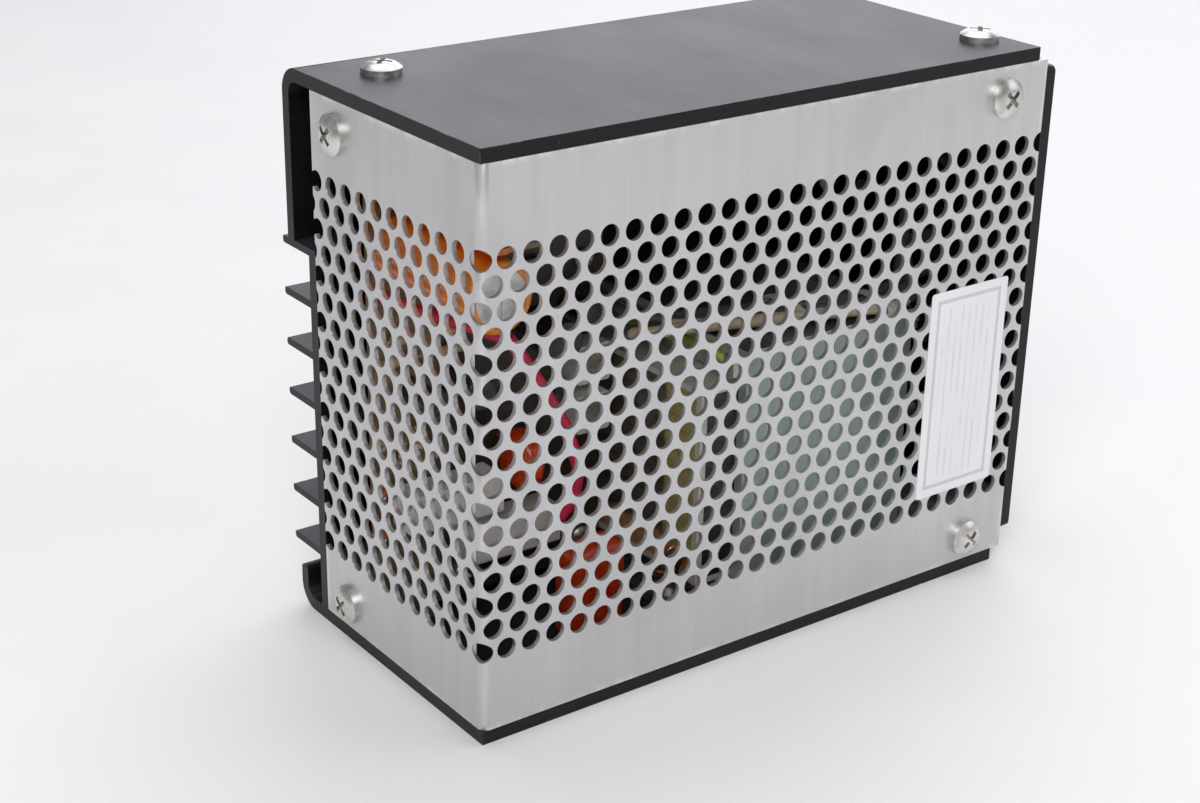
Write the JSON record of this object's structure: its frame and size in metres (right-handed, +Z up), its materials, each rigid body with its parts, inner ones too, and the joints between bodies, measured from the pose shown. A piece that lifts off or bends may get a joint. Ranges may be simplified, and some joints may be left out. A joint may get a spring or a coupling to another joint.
{
  "type": "din rail power supply",
  "caption": "Linear power supply in a finned black aluminium chassis with a folded perforated cover, a screw terminal strip and a spring latch for a 35 mm rail.",
  "frame": {"origin": "middle of the chassis underside, on the surface the unit stands on", "axes": "+X along the chassis towards the terminal end panel, +Y towards the heat-sink fins and the rail clip, +Z up; in service on a rail +X points down"},
  "size_m": [0.1783, 0.0911, 0.136],
  "materials": {
    "black_anodised": "satin black anodised extrusion, fine brushing along Y on top",
    "cover_aluminium": "bare satin sheet, mill grain along Z",
    "label_paper": null,
    "block_aluminium": "sawn bar, satin",
    "screw_steel": "zinc-plated steel, slightly warm",
    "panel_black": "black anodised plate",
    "zinc_plate": "zinc-plated sheet steel",
    "phenolic_black": "moulded black phenolic",
    "terminal_brass": "nickel-plated brass",
    "lens_green": "clear green lens",
    "bezel_chrome": "chromed bezel",
    "latch_nylon": "black glass-filled nylon",
    "spring_steel": "music wire",
    "board_phenolic": "tan phenolic paper laminate",
    "can_aluminium": "drawn aluminium can",
    "sleeve_orange": "shrunk PVC sleeve",
    "trimmer_grey": "moulded body",
    "rotor_metal": "nickel-plated rotor",
    "ceramic_white": "cement-filled ceramic",
    "dip_red": "dipped epoxy coat",
    "capacitor_black": "dark sleeve",
    "resistor_tan": "painted body with bands",
    "fuse_glass": "glass tube with nickel caps",
    "can_steel": "nickel-plated can",
    "mica": "mica film",
    "core_steel": "stacked varnished laminations, green-grey",
    "bobbin_nylon": "natural nylon",
    "coil_tape": "copper winding under varnished olive-yellow tape",
    "wire_red": "crimson PVC insulation",
    "wire_beige": "beige sleeving"
  },
  "bodies": {
    "frame": {"board_standoffs": "zinc_plate", "bottom_screws": "screw_steel", "bracket_screws": "screw_steel", "bracket_spacers": "zinc_plate", "bridge_rectifier": "phenolic_black", "capacitor_cans": "can_aluminium", "capacitor_sleeves": "sleeve_orange", "ceramic_resistors": "ceramic_white", "chassis": "black_anodised", "circuit_board": "board_phenolic", "cover_screws": "screw_steel", "din_bracket": "zinc_plate", "end_panel": "panel_black", "film_capacitor": "dip_red", "front_corner_blocks": "block_aluminium", "fuse": "fuse_glass", "fuse_clips": "terminal_brass", "indicator_bezel": "bezel_chrome", "indicator_lens": "lens_green", "inner_pan_screws": "screw_steel", "latch_guide": "zinc_plate", "latch_guide_rivets": "screw_steel", "latch_spring": "spring_steel", "panel_bracket_rivets": "screw_steel", "panel_brackets": "panel_black", "panel_screws": "screw_steel", "pass_transistors": "can_steel", "perforated_cover": "cover_aluminium", "rating_label": "label_paper", "rear_corner_blocks": "block_aluminium", "red_lead": "wire_red", "regulator_chip": "phenolic_black", "small_capacitors": "capacitor_black", "small_resistors": "resistor_tan", "terminal_block": "phenolic_black", "terminal_block_nuts": "screw_steel", "terminal_block_screws": "screw_steel", "terminal_plates": "terminal_brass", "top_screws": "screw_steel", "transformer_bobbin": "bobbin_nylon", "transformer_bolts": "screw_steel", "transformer_coil": "coil_tape", "transformer_core": "core_steel", "transformer_feet": "zinc_plate", "transformer_leads": "wire_beige", "transformer_nuts": "screw_steel", "transistor_insulators": "mica", "trimmer_bodies": "trimmer_grey", "varistor": "dip_red"},
    "din_latch": {"din_latch": "latch_nylon"},
    "voltage_trimmer": {"voltage_trimmer_rotor": "rotor_metal"},
    "current_trimmer": {"current_trimmer_rotor": "rotor_metal"},
    "terminal_screw_1": {"terminal_screw_1": "screw_steel"},
    "terminal_screw_2": {"terminal_screw_2": "screw_steel"},
    "terminal_screw_3": {"terminal_screw_3": "screw_steel"},
    "terminal_screw_4": {"terminal_screw_4": "screw_steel"},
    "terminal_screw_5": {"terminal_screw_5": "screw_steel"},
    "terminal_screw_6": {"terminal_screw_6": "screw_steel"},
    "terminal_screw_7": {"terminal_screw_7": "screw_steel"}
  },
  "joints": [
    {"name": "latch_slide", "type": "slide", "parent": "frame", "child": "din_latch", "axis": [1, 0, 0], "range_m": [0, 0.005], "stiffness_N_per_m": 900, "springref_m": -0.004, "deforming": ["latch_spring"]},
    {"name": "voltage_trim_turn", "type": "hinge", "parent": "frame", "child": "voltage_trimmer", "pos_m": [-0.019, 0.00165, 0.062], "axis": [0, -1, 0], "range_deg": [-135, 135]},
    {"name": "current_trim_turn", "type": "hinge", "parent": "frame", "child": "current_trimmer", "pos_m": [-0.019, 0.00165, 0.0494], "axis": [0, -1, 0], "range_deg": [-135, 135]},
    {"name": "terminal_screw_1_turn", "type": "hinge", "parent": "frame", "child": "terminal_screw_1", "pos_m": [0.09225, -0.00575, 0.03927], "axis": [1, 0, 0], "continuous": true},
    {"name": "terminal_screw_2_turn", "type": "hinge", "parent": "frame", "child": "terminal_screw_2", "pos_m": [0.09225, -0.00575, 0.0488], "axis": [1, 0, 0], "continuous": true},
    {"name": "terminal_screw_3_turn", "type": "hinge", "parent": "frame", "child": "terminal_screw_3", "pos_m": [0.09225, -0.00575, 0.05833], "axis": [1, 0, 0], "continuous": true},
    {"name": "terminal_screw_4_turn", "type": "hinge", "parent": "frame", "child": "terminal_screw_4", "pos_m": [0.09225, -0.00575, 0.06785], "axis": [1, 0, 0], "continuous": true},
    {"name": "terminal_screw_5_turn", "type": "hinge", "parent": "frame", "child": "terminal_screw_5", "pos_m": [0.09225, -0.00575, 0.07737], "axis": [1, 0, 0], "continuous": true},
    {"name": "terminal_screw_6_turn", "type": "hinge", "parent": "frame", "child": "terminal_screw_6", "pos_m": [0.09225, -0.00575, 0.0869], "axis": [1, 0, 0], "continuous": true},
    {"name": "terminal_screw_7_turn", "type": "hinge", "parent": "frame", "child": "terminal_screw_7", "pos_m": [0.09225, -0.00575, 0.09642], "axis": [1, 0, 0], "continuous": true}
  ]
}
